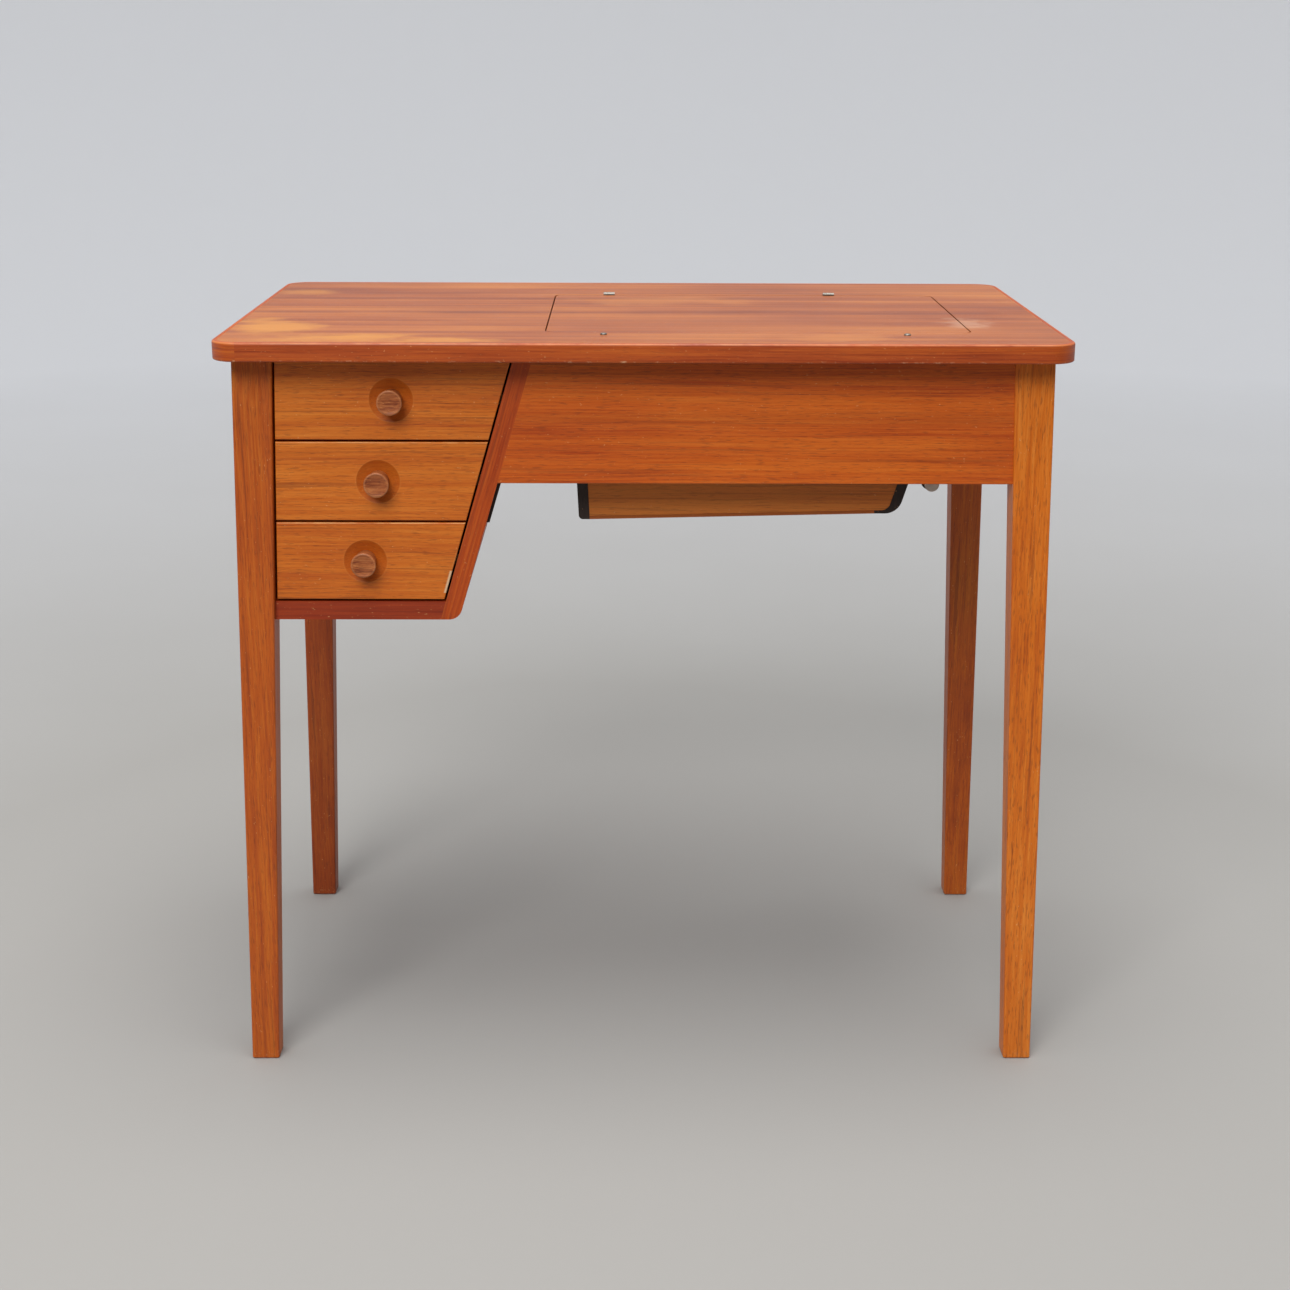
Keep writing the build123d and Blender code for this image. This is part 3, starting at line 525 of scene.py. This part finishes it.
# small knocks: the two arrises step in where the mean of three sine waves along the way peaks
knock = sum(np.sin(way * turns + phase) for turns, phase in zip(lipping["turns"], lipping["phases"])) / 3
toArris = np.minimum(abs(section[:, 1] - lipHigh.z), abs(section[:, 1] - lipLow.z))
nearArris = np.exp(-toArris / lipping["dentReach"]) * (section[:, 0] < lipping["dentWithin"])
dents = lipping["dent"] * np.clip(knock - lipping["dentAt"], 0, 1)[:, None] * nearArris
points = np.empty((len(path), len(section), 3))
points[..., :2] = path[:, None, :] - (section[:, 0] + dents)[..., None] * outward[:, None, :]
points[..., 2] = section[:, 1]
steps = np.linalg.norm(np.roll(section, -1, 0) - section, axis=1)
around = np.concatenate([[0], np.cumsum(steps)])
lippingStrip = gridMesh("lippingStrip", points, closeU=True, closeV=True,
                        uv=lambda i, j: np.stack([i * total / len(path), around[j]], -1))
lippingStrip.data.materials.append(woodMaterial("lacqueredTeakLipping", lippingTeak, uvMap="alongAround",
                                                marks=lippingMarks))
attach(lippingStrip, "table")
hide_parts("edge_lipping")
print("lipping done")

# The knobs: walnut, turned and lacquered, close dark figure, with a painted highlight round the rim
knob = {"neck": 0.010, "face": 0.012, "reach": 0.0175, "round": 0.0014, "hollow": 0.0013, "foot": -0.005,
        "flare": 2.2, "score": 0.00015, "scoreAt": 0.82, "scoreWide": 0.05, "steps": 96,
        "neckPoints": 16, "rimPoints": 7, "facePoints": 14, "rimHighlightMm": (10.6, 12.6), "rimHighlightColour": "#c08052",
        "shiftMm": (40, 0, 17)}
walnut = {**teak, "dark": "#6e2c10", "middle": "#9c5226", "light": "#bf7640", "pore": "#3d1a0d",
          "bandMm": (60, 3.2), "fibreMm": (24, 0.8), "poreMm": (6, 0.5), "cloudMm": (30, 12),
          "waveMm": (30, 10), "swayMm": 1, "roughness": (0.38, 0.5), "toneHalf": 0.112}


def knobProfile(plan):
    # radius and reach: a foot, a neck that flares as a power of the way out, a quarter-round rim, and a
    # face hollowed as a parabola with one shallow scored ring
    out = np.linspace(0, 1, plan["neckPoints"])
    neck = np.stack([plan["neck"] + (plan["face"] - plan["neck"]) * out ** plan["flare"],
                     plan["foot"] + (plan["reach"] - plan["round"] - plan["foot"]) * out], -1)
    turn = np.linspace(0, np.pi / 2, plan["rimPoints"] + 1)[1:]
    inner = plan["face"] - plan["round"]
    rim = np.stack([inner + plan["round"] * np.cos(turn),
                    plan["reach"] - plan["round"] + plan["round"] * np.sin(turn)], -1)
    share = np.linspace(1, 0, plan["facePoints"] + 1)[1:]
    score = plan["score"] * np.exp(-((share - plan["scoreAt"]) / plan["scoreWide"]) ** 2)
    face = np.stack([inner * share, plan["reach"] - plan["hollow"] * (1 - share ** 2) - score], -1)
    return np.concatenate([[[0, plan["foot"]]], neck, rim, face])


profile = knobProfile(knob)
angle = np.linspace(0, 2 * np.pi, knob["steps"], endpoint=False)[:, None]
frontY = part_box("drawer_top_front")[0].y
for level, word in enumerate(("top", "middle", "bottom")):
    centre = knobCentre(word)
    # the profile is carried round a full turn about an axis that points to the front
    turned = np.stack([centre[0] + profile[:, 0] * np.cos(angle), frontY - profile[:, 1] + 0 * angle,
                       centre[2] + profile[:, 0] * np.sin(angle)], -1)
    piece = gridMesh(f"knob_{word}", turned, closeU=True)
    # the pale ring round each knob's rim is a painted highlight
    piece.data.materials.append(woodMaterial(
        f"turnedWalnut_{word}", walnut, shiftMm=[level * shift for shift in knob["shiftMm"]],
        marks=[ringMark(centre, *knob["rimHighlightMm"], knob["rimHighlightColour"], 0.3, 0.4)]))
    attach(piece, f"{word}_drawer")
    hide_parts(f"drawer_{word}_knob")
print("knobs done")

# The studio: a matt painted sweep, pale far off, mid grey near the table and greyer in front of it; these
# changes of grey are painted light and shade
studio = {"near": "#9b9995", "far": "#dedfe1", "blend": (1.2, 4.6), "front": "#6a6866",
          "frontBlend": (-0.9, -2.2), "flat": 4.2, "bend": 2.4, "wall": 2.2, "flatRings": 12,
          "bendRings": 13, "steps": 96, "mottleMm": (900, 900), "mottle": 0.4, "ior": 1.5,
          "roughness": (0.8, 0.9), "bumpMm": 0.2, "bumpShare": 0.05,
          "sky": (0.96, 0.97, 1.0, 1.0), "skyStrength": 0.66}


def sweepMesh(plan):
    # a flat disc that curves up as a quarter circle into a low wall: a profile carried round a full turn
    bend = np.linspace(0, np.pi / 2, plan["bendRings"] + 1)[1:]
    flat = np.linspace(0, plan["flat"], plan["flatRings"])
    radius = np.concatenate([flat, plan["flat"] + plan["bend"] * np.sin(bend), [plan["flat"] + plan["bend"]]])
    height = np.concatenate([0 * flat, plan["bend"] * (1 - np.cos(bend)), [plan["bend"] + plan["wall"]]])
    angle = np.linspace(0, 2 * np.pi, plan["steps"], endpoint=False)[:, None]
    return gridMesh("studioSweep", np.stack([radius * np.cos(angle), radius * np.sin(angle),
                                             height + 0 * angle], -1), closeU=True)


def sweepMaterial(plan):
    # painted light and shade: grey by distance from the table, mottled, then greyer towards the front
    material, tree, shader = startMaterial("mattPaint", {"IOR": plan["ior"]})
    where = addNode(tree, "TexCoord", output="Object")
    mottle = grainNoise(tree, where, plan["mottleMm"], "mottled")
    distance = addNode(tree, "VectorMath", lengthOf, [where])
    reach = addNode(tree, "Math", multiplyAdd, [mottle, plan["mottle"], distance])
    outward = addNode(tree, "MapRange", None, [reach, *plan["blend"]])
    tint = addNode(tree, "Mix", mixColours, [outward, plan["near"], plan["far"]])
    depth = addNode(tree, "SeparateXYZ", None, [where], output="Y")
    toFront = addNode(tree, "MapRange", smooth, [depth, *plan["frontBlend"]])
    colour = addNode(tree, "Mix", mixColours, [toFront, tint, plan["front"]])
    roughness = addNode(tree, "MapRange", None, [mottle, *cloudSpan, *plan["roughness"]])
    finishShader(tree, shader, colour, roughness, mottle, plan)
    return material


sweep = sweepMesh(studio)
sweep.data.materials.append(sweepMaterial(studio))

world = bpy.data.worlds.new("studioWorld")
scene.world = world
world.use_nodes = True
world.node_tree.nodes["Background"].inputs["Color"].default_value = studio["sky"]
world.node_tree.nodes["Background"].inputs["Strength"].default_value = studio["skyStrength"]

lamps = {
    "keySoftbox": {"place": (-1.2, -3.6, 3.6), "aim": (0, 0, 0.5), "size": 2.6, "power": 152},
    "topSoftbox": {"place": (0.1, -0.4, 4.4), "aim": (0, 0, 0.4), "size": 2.8, "power": 128},
}
for name, lamp in lamps.items():
    data = bpy.data.lights.new(name, "AREA")
    data.shape = "DISK"
    data.size = lamp["size"]
    data.energy = lamp["power"]
    light = bpy.data.objects.new(name, data)
    light.location = lamp["place"]
    light.rotation_euler = (Vector(lamp["aim"]) - Vector(lamp["place"])).to_track_quat("-Z", "Y").to_euler()
    scene.collection.objects.link(light)
print("studio done")

view = {"place": (-0.01135, -2.06705, 1.00858), "pitch": 0.29628, "yaw": 0.00852, "roll": 0.0041,
        "lens": 56.086, "sensor": 36, "shiftX": -0.00213, "far": 50}
cameraData = bpy.data.cameras.new("camera")
cameraData.sensor_width = view["sensor"]
cameraData.lens = view["lens"]
cameraData.shift_x = view["shiftX"]
cameraData.clip_end = view["far"]
camera = bpy.data.objects.new("camera", cameraData)
camera.matrix_world = (Matrix.Translation(view["place"]) @ Matrix.Rotation(-view["yaw"], 4, "Z")
                       @ Matrix.Rotation(math.pi / 2 - view["pitch"], 4, "X")
                       @ Matrix.Rotation(view["roll"], 4, "Z"))
scene.collection.objects.link(camera)
scene.camera = camera
print("camera done")
